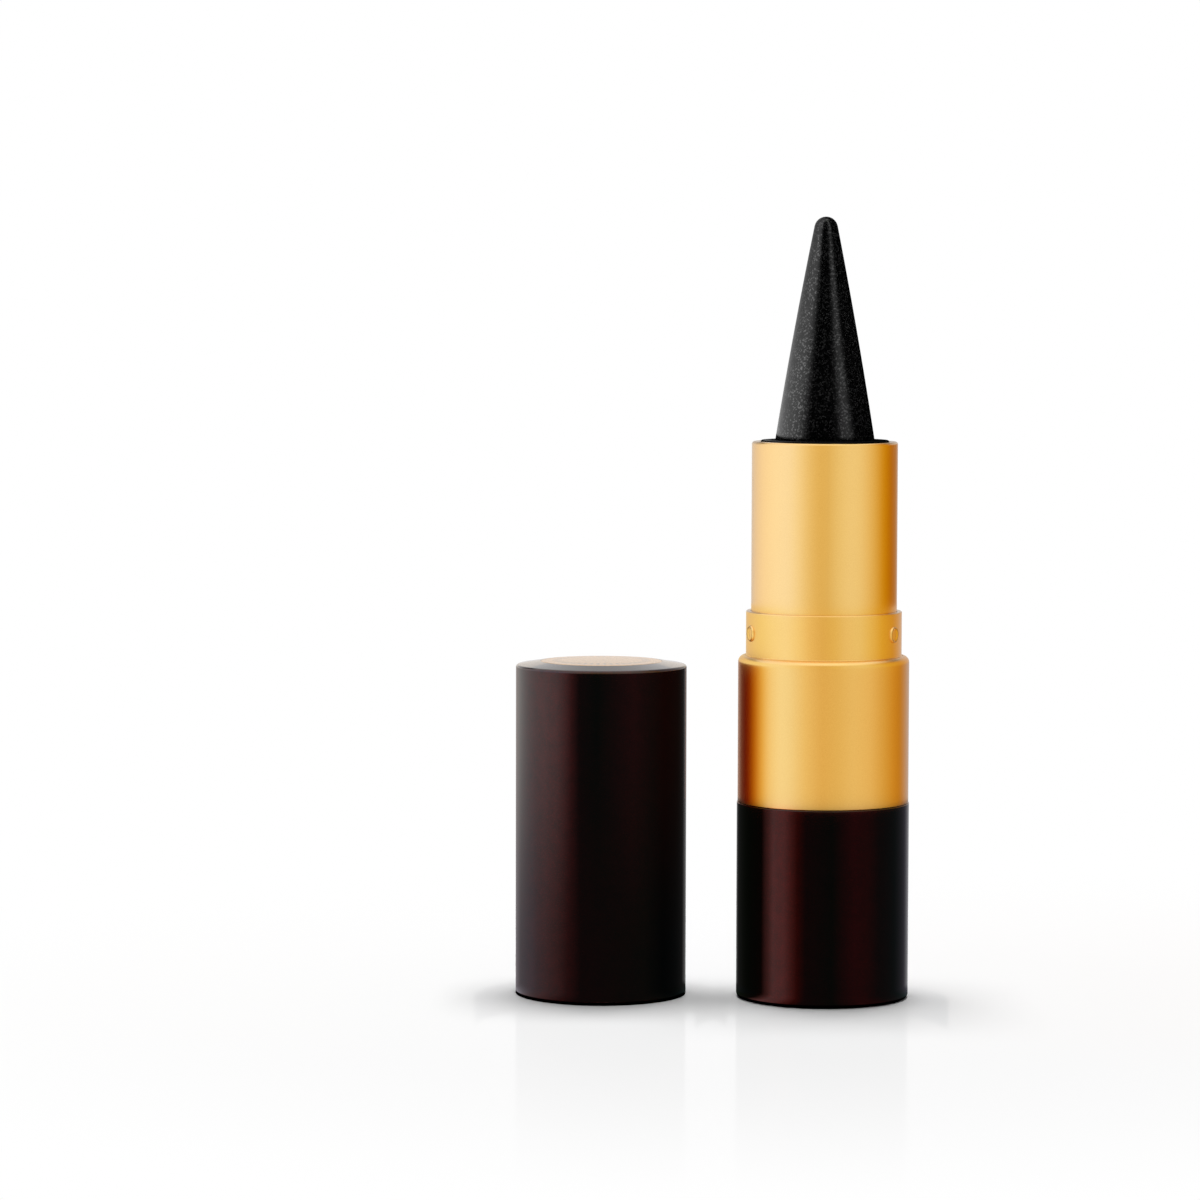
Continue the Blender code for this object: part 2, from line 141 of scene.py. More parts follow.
LINER_TOP_WALL = 0.8
LINER_EDGE = 0.2
LINER_CORNER = 0.4
DISC_EDGE = 0.08
DISC_CROWN = 0.12
DISC_STEPS = 12

# Turned rings and the ring of strokes on the disc: pitches, radius, count, slimness and soft edge
DISC_RING_PITCH = 0.22
STEEL_RING_PITCH = 0.15
STROKE_RING = 5.0
STROKE_COUNT = 44
STROKE_SLIMNESS = 3.0
STROKE_EDGE = (0.45, 0.6)

# Camera: place in millimetres, pitch and roll in degrees, focal length and sensor width, and reach in metres
CAMERA_PLACE = (-24.67, -493.83, 77.85)
CAMERA_PITCH = -3.932
CAMERA_ROLL = 0.14
CAMERA_LENS = 134.82
CAMERA_SENSOR = 36.0
CAMERA_REACH = (0.01, 20.0)


def rounded(corners):
    """Outline through (radius, level, edge) corners, each rounded by its edge and held on both sides."""
    points = []
    count = len(corners)
    for i, (radius, level, edge) in enumerate(corners):
        corner = Vector((radius, level))
        if not edge:
            points.append(corner)
            continue
        back = (Vector(corners[i - 1][:2]) - corner).normalized()
        on = (Vector(corners[(i + 1) % count][:2]) - corner).normalized()
        half = back.angle(on) / 2
        reach = edge / math.tan(half)
        centre = corner + (back + on).normalized() * edge / math.sin(half)
        first = (corner + back * reach - centre).normalized()
        last = (corner + on * reach - centre).normalized()
        steps = max(2, math.ceil((math.pi - 2 * half) / EDGE_STEP))
        points.append(corner + back * reach * (1 + HOLD))
        for j in range(steps + 1):
            points.append(centre + first.slerp(last, j / steps) * edge)
        points.append(corner + on * reach * (1 + HOLD))
    return points


def turned(outline, closed):
    """Turns an outline of (radius, level) points about the axis of the case, in millimetres."""
    bm = bmesh.new()
    verts = [bm.verts.new((radius, 0, level)) for radius, level in outline]
    edges = [bm.edges.new((verts[i], verts[i + 1])) for i in range(len(verts) - 1)]
    if closed:
        edges.append(bm.edges.new((verts[-1], verts[0])))
    bmesh.ops.spin(
        bm,
        geom=verts + edges,
        axis=(0, 0, 1),
        angle=math.tau,
        steps=ROUND_STEPS,
        use_merge=True,
    )
    bmesh.ops.remove_doubles(bm, verts=bm.verts, dist=JOIN)
    bmesh.ops.recalc_face_normals(bm, faces=bm.faces)
    return bm


def piece(name, bm, body, node, material):
    """Writes a bmesh in millimetres as a named piece that rides on a body and stands for a node."""
    bmesh.ops.scale(bm, verts=bm.verts, vec=(MM, MM, MM))
    mesh = bpy.data.meshes.new(name)
    bm.to_mesh(mesh)
    bm.free()
    mesh.shade_smooth()
    mesh.materials.append(material)
    item = bpy.data.objects.new(name, mesh)
    bpy.context.scene.collection.objects.link(item)
    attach(item, body)
    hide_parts(node)
    return item


def measure(node):
    """Radius, lowest level, highest level and axis place of a turned node, in millimetres."""
    low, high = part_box(node)
    radius = (high.x - low.x) / 2 / MM
    return radius, low.z / MM, high.z / MM, ((low.x + high.x) / 2 / MM, (low.y + high.y) / 2 / MM)


class Wire:
    """An output socket that takes part in sums, each of which adds its Math node."""

    def __init__(self, finish, socket):
        self.finish = finish
        self.socket = socket

    def output(self, name):
        """Another output of the same node."""
        return Wire(self.finish, self.socket.node.outputs[name])

    def maths(self, operation, *values):
        """A Math node of the values, in their order."""
        return self.finish.node("ShaderNodeMath", {"operation": operation}, dict(enumerate(values)))

    def __add__(self, other):
        return self.maths("ADD", self, other)

    def __radd__(self, other):
        return self.maths("ADD", other, self)

    def __sub__(self, other):
        return self.maths("SUBTRACT", self, other)

    def __rsub__(self, other):
        return self.maths("SUBTRACT", other, self)

    def __mul__(self, other):
        return self.maths("MULTIPLY", self, other)

    def __rmul__(self, other):
        return self.maths("MULTIPLY", other, self)

    def __truediv__(self, other):
        return self.maths("DIVIDE", self, other)

    def __gt__(self, other):
        return self.maths("GREATER_THAN", self, other)

    def root(self):
        """Its square root."""
        return self.maths("SQRT", self)

    def sine(self):
        """Its sine."""
        return self.maths("SINE", self)

    def fraction(self):
        """What it exceeds the whole number below it by."""
        return self.maths("FRACT", self)

    def clipped(self):
        """It, held between 0 and 1."""
        return self.finish.node("ShaderNodeClamp", {}, {"Value": self})

    def between(self, low, high):
        """It, mapped smoothly from 0 at low to 1 at high."""
        return self.finish.node(
            "ShaderNodeMapRange",
            {"interpolation_type": "SMOOTHSTEP"},
            {"Value": self, "From Min": low, "From Max": high, "To Min": 0.0, "To Max": 1.0},
        )


class Finish:
    """A node tree, and the one method that adds nodes to it."""

    def __init__(self, tree):
        self.tree = tree
        self.tree.nodes.clear()

    def node(self, kind, settings, inputs, output=0):
        """Adds a node, sets it, then gives its sockets their values or links. Returns one of its outputs."""
        node = self.tree.nodes.new(kind)
        for name, value in settings.items():
            if name == "stops":
                self.set_stops(node.color_ramp, value)
            else:
                setattr(node, name, value)
        for name, value in inputs.items():
            socket = node.inputs[name]
            if isinstance(value, Wire):
                self.tree.links.new(value.socket, socket)
            else:
                socket.default_value = value
        if len(node.outputs) == 0:
            return None
        return Wire(self, node.outputs[output])

    def set_stops(self, ramp, stops):
        """Gives a colour ramp its (place, colour) stops."""
        while len(ramp.elements) > len(stops):
            ramp.elements.remove(ramp.elements[-1])
        while len(ramp.elements) < len(stops):
            ramp.elements.new(1.0)
        for element, (place, colour) in zip(ramp.elements, stops):
            element.position = place
            element.color = (*colour, 1.0)

    def place(self, shift=(0, 0, 0), stretch=(1, 1, 1)):
        """Object coordinates, shifted in metres and stretched."""
        coordinates = self.node("ShaderNodeTexCoord", {}, {}).output("Object")
        return self.node(
            "ShaderNodeMapping",
            {"vector_type": "POINT"},
            {"Vector": coordinates, "Location": shift, "Scale": stretch},
        )

    def noise(self, place, size, detail=2.0, roughness=0.5):
        """Noise whose features are about as large as size, in millimetres."""
        return self.node(
            "ShaderNodeTexNoise",
            {"noise_dimensions": "3D"},
            {"Vector": place, "Scale": 1 / (size * MM), "Detail": detail, "Roughness": roughness},
        )

    def cells(self, place, size):
        """A random value for each cell of about that size, in millimetres."""
        colour = self.node(
            "ShaderNodeTexVoronoi",
            {"feature": "F1"},
            {"Vector": place, "Scale": 1 / (size * MM)},
        ).output("Color")
        return self.node("ShaderNodeSeparateColor", {}, {"Color": colour})

    def blend(self, factor, first, second):
        """The first colour where the factor is 0, and the second where it is 1."""
        return self.node(
            "ShaderNodeMix",
            {"data_type": "RGBA"},
            {0: factor, 6: as_colour(first), 7: as_colour(second)},
            2,
        )

    def bump(self, height, depth):
        """A normal from a height of 0 to 1 that stands for a depth in millimetres."""
        return self.node("ShaderNodeBump", {}, {"Height": height, "Strength": 1.0, "Distance": depth * MM})

    def surface(self, **sockets):
        """Joins a Principled shader to the output. A socket's name is written with underscores."""
        names = {name.replace("_", " "): value for name, value in sockets.items()}
        shader = self.node("ShaderNodeBsdfPrincipled", {}, names)
        self.node("ShaderNodeOutputMaterial", {}, {"Surface": shader})


def as_colour(value):
    """A link as it is, or a colour with its alpha."""
    return value if isinstance(value, Wire) else (*value, 1.0)


def new_finish(name):
    """A new material and its node tree."""
    material = bpy.data.materials.new(name)
    material.use_nodes = True
    return material, Finish(material.node_tree)


def gold_finish(name):
    """Satin gold anodising: a fine blasted grain under a thin clear oxide."""
    material, finish = new_finish(name)
    place = finish.place()
    grain = finish.noise(place, 0.09, 3.0)
    cloud = finish.noise(place, 3.0, 3.0)
    colour = finish.blend(cloud, (0.87, 0.47, 0.075), (0.91, 0.5, 0.09))
    finish.surface(
        Base_Color=finish.blend(grain.between(0.35, 0.65), colour, (0.93, 0.53, 0.1)),
        Metallic=1.0,
        Roughness=0.26 + grain * 0.08,
        Normal=finish.bump(grain, 0.0012),
        Coat_Weight=1.0,
        Coat_Roughness=0.22,
        Coat_IOR=2.2,
    )
    return material


def lacquer_finish(name):
    """Near-black maroon lacquer: a fine red flake under a clear glossy coat."""
    material, finish = new_finish(name)
    place = finish.place()
    flake = finish.cells(place, 0.07)
    cloud = finish.noise(place, 1.4, 3.0)
    colour = finish.blend(cloud.between(0.3, 0.7), (0.02, 0.002, 0.002), (0.036, 0.003, 0.003))
    peel = finish.noise(place, 1.6, 1.0)
    finish.surface(
        Base_Color=finish.blend(flake.between(0.7, 1.0), colour, (0.07, 0.007, 0.006)),
        Metallic=1.0,
        Roughness=0.17 + flake * 0.05,
        Coat_Weight=0.96 + peel * 0.04,
        Coat_Roughness=0.05,
        Coat_IOR=1.5,
    )
    return material


def kohl_finish(name):
    """Pressed kohl: waxy charcoal black with a fine grain and small mica sparkles."""
    material, finish = new_finish(name)
    place = finish.place()
    grain = finish.noise(place, 0.16, 2.0, 0.6)
    sparkle = finish.cells(place, 0.15).between(0.58, 1.0)
    drag = finish.noise(finish.place(stretch=(1, 1, 0.08)), 0.45, 2.0)
    black = finish.blend(grain, (0.0012, 0.0012, 0.0013), (0.004, 0.004, 0.0042))
    height = grain * 0.75 + drag * 0.25
    finish.surface(
        Base_Color=finish.blend(sparkle, black, (0.1, 0.1, 0.1)),
        Metallic=sparkle,
        Roughness=0.13 + grain * 0.08,
        Normal=finish.bump(height, 0.018),
        Specular_IOR_Level=0.33,
    )
    return material


def plastic_finish(name, dark, light, roughness, gloss=0.5):
    """Moulded plastic: two close shades, and a faint skin texture."""
    material, finish = new_finish(name)
    place = finish.place()
    shade = finish.noise(place, 2.5, 3.0)
    skin = finish.noise(place, 0.18, 2.0)
    finish.surface(
        Base_Color=finish.blend(shade, dark, light),
        Roughness=roughness + skin * 0.1,
        Normal=finish.bump(skin, 0.003),
        Specular_IOR_Level=gloss,
    )
    return material


def steel_finish(name):
    """Turned steel: fine rings from the tool on a clean metal."""
    material, finish = new_finish(name)
    place = finish.place()
    parts = finish.node("ShaderNodeSeparateXYZ", {}, {"Vector": place})
    x, y = parts.output("X"), parts.output("Y")
    radius = (x * x + y * y).root()
    rings = (radius * (math.tau / (STEEL_RING_PITCH * MM))).sine() * 0.5 + 0.5
    tarnish = finish.noise(place, 2.0, 4.0)
    finish.surface(
        Base_Color=finish.blend(tarnish, (0.5, 0.5, 0.51), (0.6, 0.6, 0.6)),
        Metallic=1.0,
        Roughness=0.32 + tarnish * 0.12,
        Normal=finish.bump(rings, 0.004),
    )
    return material


def disc_finish(name, centre):
    """Gold disc with fine turned rings and a printed ring of short strokes."""
    material, finish = new_finish(name)
    place = finish.place(shift=(-centre[0] * MM, -centre[1] * MM, 0))
    parts = finish.node("ShaderNodeSeparateXYZ", {}, {"Vector": place})
    x, y = parts.output("X") / MM, parts.output("Y") / MM
    radius = (x * x + y * y).root()
    turn = x.maths("ARCTAN2", y, x) / math.tau
    pitch = math.tau * STROKE_RING / STROKE_COUNT
    across = ((turn * STROKE_COUNT).fraction() - 0.5) * (pitch * STROKE_SLIMNESS)
    along = radius - STROKE_RING
    strokes = 1 - (across * across + along * along).root().between(*STROKE_EDGE)
    rings = (radius * (math.tau / DISC_RING_PITCH)).sine() * 0.5 + 0.5
    grain = finish.noise(place, 0.09, 3.0)
    gold = finish.blend(grain.between(0.3, 0.7), (0.96, 0.5, 0.14), (0.99, 0.56, 0.19))
    finish.surface(
        Base_Color=finish.blend(strokes, gold, (0.16, 0.05, 0.035)),
        Metallic=0.9 - strokes * 0.8,
        Roughness=0.22 + grain * 0.1,
        Normal=finish.bump(rings, 0.004),
        Coat_Weight=1.0,
        Coat_Roughness=0.17,
        Coat_IOR=1.77,
    )
    return material


def make_base_shell(material):
    """Outer shell of the base, with a rounded foot."""
    radius, low, high, _ = measure("base_shell")
    outline = rounded(
        [
            (0, low + BASE_FLOOR, 0),
            (radius - BASE_WALL, low + BASE_FLOOR, SMALL_EDGE),
            (radius - BASE_WALL, high, BROKEN_EDGE),
            (radius, high, BASE_TOP_EDGE),
            (radius, low, BASE_FOOT_EDGE),
            (0, low, 0),
        ]
    )
    return piece("base_lacquered", turned(outline, False), "base", "base_shell", material)


def make_collar(material):
    """Stepped gold collar with four round pads pressed out of its band."""
    radius, _, high, _ = measure("collar")
    low = measure("base_shell")[2] + COLLAR_SEAM
    shoulder = high - SHOULDER_DROP
    outline = rounded(
        [
            (TURNING_BORE, high, BROKEN_EDGE),
            (BAND_RADIUS, high, BAND_EDGE),
            (BAND_RADIUS, shoulder, BAND_ROOT),
            (radius, shoulder, SHOULDER_EDGE),
            (radius, low, COLLAR_FOOT_EDGE),
            (radius - COLLAR_WALL, low, BROKEN_EDGE),
            (radius - COLLAR_WALL, shoulder - COLLAR_WALL, SMALL_EDGE),
            (TURNING_BORE, shoulder - COLLAR_WALL, BROKEN_EDGE),
        ]
    )
    bm = turned(outline, True)
    for side in (0, math.pi):
        for spread in (-PAD_SPREAD, PAD_SPREAD):
            add_pad(bm, side + PAD_TURN + spread, shoulder + PAD_LEVEL)
    return piece("collar_gold", bm, "base", "collar", material)


def add_pad(bm, angle, level):
    """A round pad with a rounded rim and a slightly dished face, which stands out of the band."""
    base = BAND_RADIUS - PAD_SUNK
    face = BAND_RADIUS + PAD_RISE
    outline = rounded(
        [
            (0, face - PAD_DISH, 0),
            (PAD_RADIUS * PAD_DISH_SHARE, face - PAD_DISH, PAD_DISH_EDGE),
            (PAD_RADIUS * PAD_RIM_INSIDE, face, PAD_RIM_EDGE),
            (PAD_RADIUS * PAD_RIM_OUTSIDE, face, PAD_EDGE),
            (PAD_RADIUS, base, 0),
            (0, base, 0),
        ]
    )
    pad = turned(outline, False)
    lay_down = Matrix.Rotation(math.radians(90), 4, "Y")
    place = Matrix.Rotation(angle, 4, "Z") @ Matrix.Translation((0, 0, level)) @ lay_down
    bmesh.ops.transform(pad, verts=pad.verts, matrix=place)
    mesh = bpy.data.meshes.new("pad")
    pad.to_mesh(mesh)
    pad.free()
    bm.from_mesh(mesh)
    bpy.data.meshes.remove(mesh)


def make_tube_shell(material):
    """Gold tube whose rim rolls in over the spiral sleeve."""
    radius, low, high, _ = measure("tube_shell")
    outline = rounded(
        [
            (MOUTH_RADIUS, high, MOUTH_EDGE),
            (radius, high, TUBE_EDGE),
            (radius, low, BROKEN_EDGE),
            (radius - TUBE_WALL, low, BROKEN_EDGE),
            (radius - TUBE_WALL, high - TUBE_WALL, TUBE_CORNER),
            (MOUTH_RADIUS, high - TUBE_WALL, BROKEN_EDGE),
        ]
    )
    return piece("tube_gold", turned(outline, True), "tube", "tube_shell", material)


def make_guide_tube(material):
    """Black guide tube: rounded lip, slotted wall, foot flange and a round stub."""
    flange, low, high, _ = measure("guide_tube")
    foot = low + STUB_LENGTH
    floor = foot + GUIDE_FLOOR
    outline = rounded(
        [
            (0, floor, 0),
            (GUIDE_BORE, floor, GUIDE_FLOOR_EDGE),
            (GUIDE_BORE, high - GUIDE_LIP_SUNK, GUIDE_LIP_EDGE),
            (GUIDE_LIP, high - GUIDE_LIP_SUNK, GUIDE_LIP_EDGE),
            (GUIDE_LIP, high - GUIDE_LIP_DROP, BROKEN_EDGE),
            (GUIDE_RADIUS, high - GUIDE_LIP_DROP, BROKEN_EDGE),
            (GUIDE_RADIUS, floor, SMALL_EDGE),
            (flange, floor, FLANGE_EDGE),
            (flange, foot, SMALL_EDGE),
            (STUB_RADIUS, foot, SMALL_EDGE),
            (STUB_RADIUS, low, STUB_EDGE),
            (0, low, 0),
        ]
    )
    item = piece("guide_black", turned(outline, False), "base", "guide_tube", material)
    cut_slots(item, floor + SLOT_FOOT, floor + SLOT_TOP)
    return item


def cut_slots(item, low, high):
    """Cuts the two upright slots for the carrier's lugs."""
    bm = bmesh.new()
    bmesh.ops.create_cube(bm)
    bmesh.ops.scale(bm, verts=bm.verts, vec=(4 * GUIDE_RADIUS, SLOT_WIDTH, high - low))
    bmesh.ops.translate(bm, verts=bm.verts, vec=(0, 0, (low + high) / 2))
    bmesh.ops.scale(bm, verts=bm.verts, vec=(MM, MM, MM))
    mesh = bpy.data.meshes.new("slots")
    bm.to_mesh(mesh)
    bm.free()
    slots = bpy.data.objects.new("slots", mesh)
    bpy.context.scene.collection.objects.link(slots)
    boolean = item.modifiers.new("slots", "BOOLEAN")
    boolean.operation = "DIFFERENCE"
    boolean.object = slots
    graph = bpy.context.evaluated_depsgraph_get()
    cut = bpy.data.meshes.new_from_object(item.evaluated_get(graph))
    item.modifiers.clear()
    item.data = cut
    cut.set_sharp_from_angle(angle=CRISP_ANGLE)
    bpy.data.objects.remove(slots, do_unlink=True)
    bpy.data.meshes.remove(mesh)


def make_stick(material):
    """Kohl stick: a slightly full cone with a rounded tip, on a round shank."""
    radius, low, high, _ = measure("stick")
    rim = measure("tube_shell")[2]
    centre = high - STICK_TIP
    drop = centre - rim
    slope = math.atan2(radius, drop) - math.asin(STICK_TIP / math.hypot(radius, drop))
    outline = []
    for i in range(FLARE_STEPS + 1):
        angle = math.pi / 2 + (slope - math.pi / 2) * i / FLARE_STEPS
        outline.append((STICK_TIP * math.cos(angle), centre + STICK_TIP * math.sin(angle)))
    start_radius, start_level = outline[-1]
    for i in range(1, FLARE_STEPS + 1):
        share = i / FLARE_STEPS
        swell = 4 * STICK_FLARE * share * (1 - share)
        reach = start_radius + (radius - start_radius) * share + swell
        outline.append((reach, start_level + (rim - start_level) * share))
    outline += [
        (radius, rim - STICK_SHANK_DROP),
        (radius, low + STICK_CHAMFER),
        (radius - STICK_CHAMFER, low),
        (0, low),
    ]
    return piece("kohl_stick", turned(outline, False), "carrier", "stick", material)


def moved(bm, place):
    """Moves a piece in millimetres to the axis of the cap."""
    bmesh.ops.translate(bm, verts=bm.verts, vec=(place[0], place[1], 0))
    return bm


def make_cap_shell(material):
    """Lacquered cap with a gently sloped top and a seat for the disc."""
    radius, low, high, place = measure("cap_shell")
    seat = high - CAP_SEAT_DEPTH
    outline = rounded(
        [
            (0, seat, 0),
            (CAP_SEAT, seat, BROKEN_EDGE),
            (CAP_SEAT, high, CAP_SEAT_EDGE),
            (radius, high - CAP_SLOPE, CAP_TOP_EDGE),
            (radius, low, CAP_FOOT_EDGE),
            (radius - CAP_WALL, low, BROKEN_EDGE),
            (radius - CAP_WALL, seat - CAP_TOP_WALL, CAP_CORNER),
            (0, seat - CAP_TOP_WALL, 0),
        ]
    )
    return piece("cap_lacquered", moved(turned(outline, False), place), "cap", "cap_shell", material)


def make_cap_liner(material):
    """Black liner of the cap, with a wide mouth for the band."""
    radius, low, high, place = measure("cap_liner")
    step = low + LINER_MOUTH_DEPTH
    outline = rounded(
        [
            (0, high, 0),
            (radius, high, LINER_EDGE),
            (radius, low, BROKEN_EDGE),
            (LINER_MOUTH, low, SMALL_EDGE),
            (LINER_MOUTH, step, SMALL_EDGE),
            (LINER_BORE, step + LINER_MOUTH - LINER_BORE, SMALL_EDGE),
            (LINER_BORE, high - LINER_TOP_WALL, LINER_CORNER),
            (0, high - LINER_TOP_WALL, 0),
        ]
    )
    return piece("cap_liner_black", moved(turned(outline, False), place), "cap", "cap_liner", material)


def make_cap_disc(material):
    """Gold disc with a slight crown, inlaid in the top of the cap."""
    radius, low, high, place = measure("cap_disc")
    shares = [i / DISC_STEPS for i in range(DISC_STEPS)]
    crown = [(radius * share, high + DISC_CROWN * (1 - share * share), 0) for share in shares]
    outline = rounded(crown + [(radius, high, DISC_EDGE), (radius, low, BROKEN_EDGE), (0, low, 0)])
    return piece("cap_disc_gold", moved(turned(outline, False), place), "cap", "cap_disc", material)


def grey(level):
    """A neutral shade."""
    return (level, level, level)


def even(shade):
    """Stops of a card that has one shade all round."""
    return ((-180, shade), (180, shade))


# Stage: centre between the case and the cap, a height over a card's foot, and the floor, in metres
STAGE_CENTRE = -0.0123
EYE_HEIGHT = 0.01
FLOOR_RADIUS = 2.4
FLOOR_FADE_START = 0.03
FLOOR_FADE_END = 0.12
FLOOR_GLOSS = 0.1
FLOOR_GLOSS_ROUGHNESS = 0.07
SKY_LIGHT = 0.12

# Reflection cards: brightness of a shade of 1, height over the floor, and how far a close card shows
CARD_STRENGTH = 2.0
CARD_LIFT = 0.0004
CLOSE_REACH = 0.024

# Cards close round a piece: distances, heights, rises over the piece and spans of azimuth
FOOT_CARD_LIFT = 0.00005
FOOT_CARD_REACH = 0.0006
FOOT_CARD_RISE = 0.0003
NEAR_DISTANCE = 0.014
NEAR_DROP = 0.0006
NEAR_CHANGE = (0.002, 0.036)
CAP_EDGE_SPAN = (60, 125)
CAP_EDGE_RISE = 0.02
DISC_CARD_RISE = 0.0035
COLLAR_CARD_DISTANCE = 0.0147
STICK_CARD_DISTANCE = 0.0071
LIP_CARD_HEIGHT = 0.0008
STICK_CARD_HEIGHT = 0.045

# Wall, ceiling and back card, far off: distances, heights, and where one set of shades gives way to the next
WALL_START = 0.03
WALL_DISTANCE = 0.55
WALL_HEIGHT = 0.95
WALL_CHANGE = (0.35, 0.8)
CEILING_DISTANCE = 0.02
BACK_SPAN = (125, 235)
BACK_DISTANCE = 0.5
BACK_HEIGHTS = (0.09, 0.4)
BACK_CHANGE = (0.15, 0.38)

# Cards of one shade: behind the object and above that, beside the cap's top, behind the disc, and dark ones
BACK_SHADES = even(grey(0.32))
BACK_TOP_SHADES = even(grey(0.08))
CAP_EDGE_SHADES = even(grey(0.25))
DISC_SHADES = even((0.42, 0.39, 0.36))
# The dark shades are for the cards that paint dark reflections at the feet of the lacquer and on the guide
# tube's lip
DARK_SHADES = even(grey(0.0))

# The cards' shades by azimuth. They were set by comparing rows of the render with rows of the photograph
# What the gold mirrors: bright on the left, warm in front, and deep orange past the right
GOLD_SHADES = (
    (-180, (0.42, 0.42, 0.43)),
    (-162, (0.38, 0.35, 0.3)),
    (-140, (0.46, 0.44, 0.4)),
    (-115, (0.54, 0.56, 0.58)),
    (-85, (0.56, 0.63, 0.74)),
    (-60, (0.55, 0.63, 0.78)),
    (-45, (0.53, 0.58, 0.6)),
    (-28, (0.47, 0.46, 0.34)),
    (-12, (0.42, 0.37, 0.2)),
    (3, (0.42, 0.37, 0.2)),
    (18, (0.46, 0.46, 0.33)),
    (38, (0.49, 0.51, 0.43)),
    (54, (0.48, 0.5, 0.41)),
    (68, (0.46, 0.43, 0.28)),
    (84, (0.41, 0.33, 0.12)),
    (100, (0.34, 0.2, 0.0)),
    (125, (0.24, 0.09, 0.0)),
    (148, (0.24, 0.13, 0.05)),
    (165, (0.36, 0.3, 0.27)),
    (180, (0.42, 0.42, 0.43)),
)
CEILING_SHADES = (
    (-180, grey(0.5)),
    (-60, (0.62, 0.64, 0.62)),
    (60, (0.6, 0.64, 0.56)),
    (180, grey(0.5)),
)

# What the collar and its band mirror close by; the dark stretch on the left is a painted reflection of the
# cap
COLLAR_SHADES = (
    (-180, (0.36, 0.35, 0.35)),
    (-150, (0.34, 0.3, 0.28)),
    (-128, (0.3, 0.22, 0.19)),
    (-112, (0.08, 0.03, 0.02)),
    (-96, (0.05, 0.0, 0.0)),
    (-86, (0.12, 0.01, 0.0)),
    (-76, (0.28, 0.1, 0.0)),
    (-66, (0.44, 0.32, 0.08)),
    (-56, (0.5, 0.5, 0.38)),
    (-44, (0.52, 0.58, 0.56)),
    (-35, (0.5, 0.55, 0.52)),
    (-19, (0.46, 0.43, 0.28)),
    (-4, (0.41, 0.34, 0.17)),
    (10, (0.42, 0.37, 0.2)),
    (25, (0.45, 0.42, 0.27)),
    (41, (0.44, 0.39, 0.23)),
    (51, (0.41, 0.33, 0.15)),
    (61, (0.37, 0.27, 0.08)),
    (73, (0.34, 0.2, 0.03)),
    (88, (0.28, 0.14, 0.01)),
    (113, (0.27, 0.22, 0.2)),
    (145, (0.34, 0.32, 0.31)),
    (180, (0.36, 0.35, 0.35)),
)
BAND_SHADES = (
    (-180, (0.38, 0.33, 0.28)),
    (-120, (0.43, 0.34, 0.18)),
    (-82, (0.5, 0.5, 0.32)),
    (-61, (0.53, 0.57, 0.48)),
    (-44, (0.53, 0.58, 0.55)),
    (-30, (0.51, 0.52, 0.4)),
    (-17, (0.46, 0.41, 0.24)),
    (-4, (0.41, 0.34, 0.16)),
    (8, (0.43, 0.38, 0.18)),
    (21, (0.46, 0.44, 0.29)),
    (35, (0.46, 0.46, 0.31)),
    (50, (0.44, 0.39, 0.17)),
    (67, (0.39, 0.28, 0.04)),
    (90, (0.34, 0.2, 0.03)),
    (120, (0.34, 0.26, 0.2)),
    (180, (0.38, 0.33, 0.28)),
)

# What the stick mirrors: a wide soft light on the left, a narrow one on the right, and dark between them
STICK_SHADES = (
    (-180, grey(0.08)),
    (-130, grey(0.26)),
    (-105, grey(0.42)),
    (-85, grey(0.66)),
    (-62, grey(0.9)),
    (-50, grey(0.84)),
    (-40, grey(0.44)),
    (-31, grey(0.06)),
    (-26, grey(0.0)),
    (9, grey(0.0)),
    (17, grey(0.06)),
    (27, grey(0.42)),
    (35, grey(0.42)),
    (43, grey(0.06)),
    (49, grey(0.0)),
    (180, grey(0.0)),
)

# What the lacquer mirrors close by, round the base and round the cap
# The base's dark stretch on the left, from about -118 to -63, is a painted reflection of the cap beside it
BASE_SHADES = (
    (-180, (0.03, 0.02, 0.02)),
    (-164, (0.05, 0.04, 0.04)),
    (-150, (0.26, 0.24, 0.24)),
    (-140, grey(0.2)),
    (-118, grey(0.01)),
    (-84, (0.005, 0.008, 0.005)),
    (-63, (0.01, 0.01, 0.008)),
    (-55, (0.24, 0.11, 0.1)),
    (-49, (0.46, 0.25, 0.24)),
    (-38, (0.44, 0.21, 0.2)),
    (-31, (0.28, 0.09, 0.08)),
    (-25, (0.12, 0.025, 0.02)),
    (-18, (0.03, 0.02, 0.02)),
    (6, (0.015, 0.025, 0.02)),
    (16, (0.05, 0.025, 0.025)),
    (26, (0.085, 0.028, 0.03)),
    (38, (0.07, 0.028, 0.028)),
    (52, (0.025, 0.026, 0.026)),
    (75, (0.015, 0.024, 0.024)),
    (100, (0.04, 0.04, 0.05)),
    (125, (0.2, 0.2, 0.21)),
    (142, (0.24, 0.22, 0.22)),
    (160, (0.06, 0.05, 0.05)),
    (180, (0.03, 0.02, 0.02)),
)
CAP_FOOT_SHADES = (
    (-180, (0.03, 0.02, 0.02)),
    (-160, (0.05, 0.04, 0.04)),
    (-142, (0.14, 0.13, 0.13)),
    (-116, (0.12, 0.11, 0.12)),
    (-99, (0.11, 0.1, 0.11)),
    (-73, (0.22, 0.21, 0.24)),
    (-55, (0.26, 0.2, 0.21)),
    (-41, (0.2, 0.13, 0.13)),
    (-30, (0.11, 0.05, 0.05)),
    (-18, (0.03, 0.025, 0.025)),
    (40, (0.02, 0.03, 0.025)),
    (63, (0.005, 0.01, 0.01)),
    (105, grey(0.01)),
    (135, grey(0.16)),
    (158, (0.05, 0.04, 0.04)),
    (180, (0.03, 0.02, 0.02)),
)
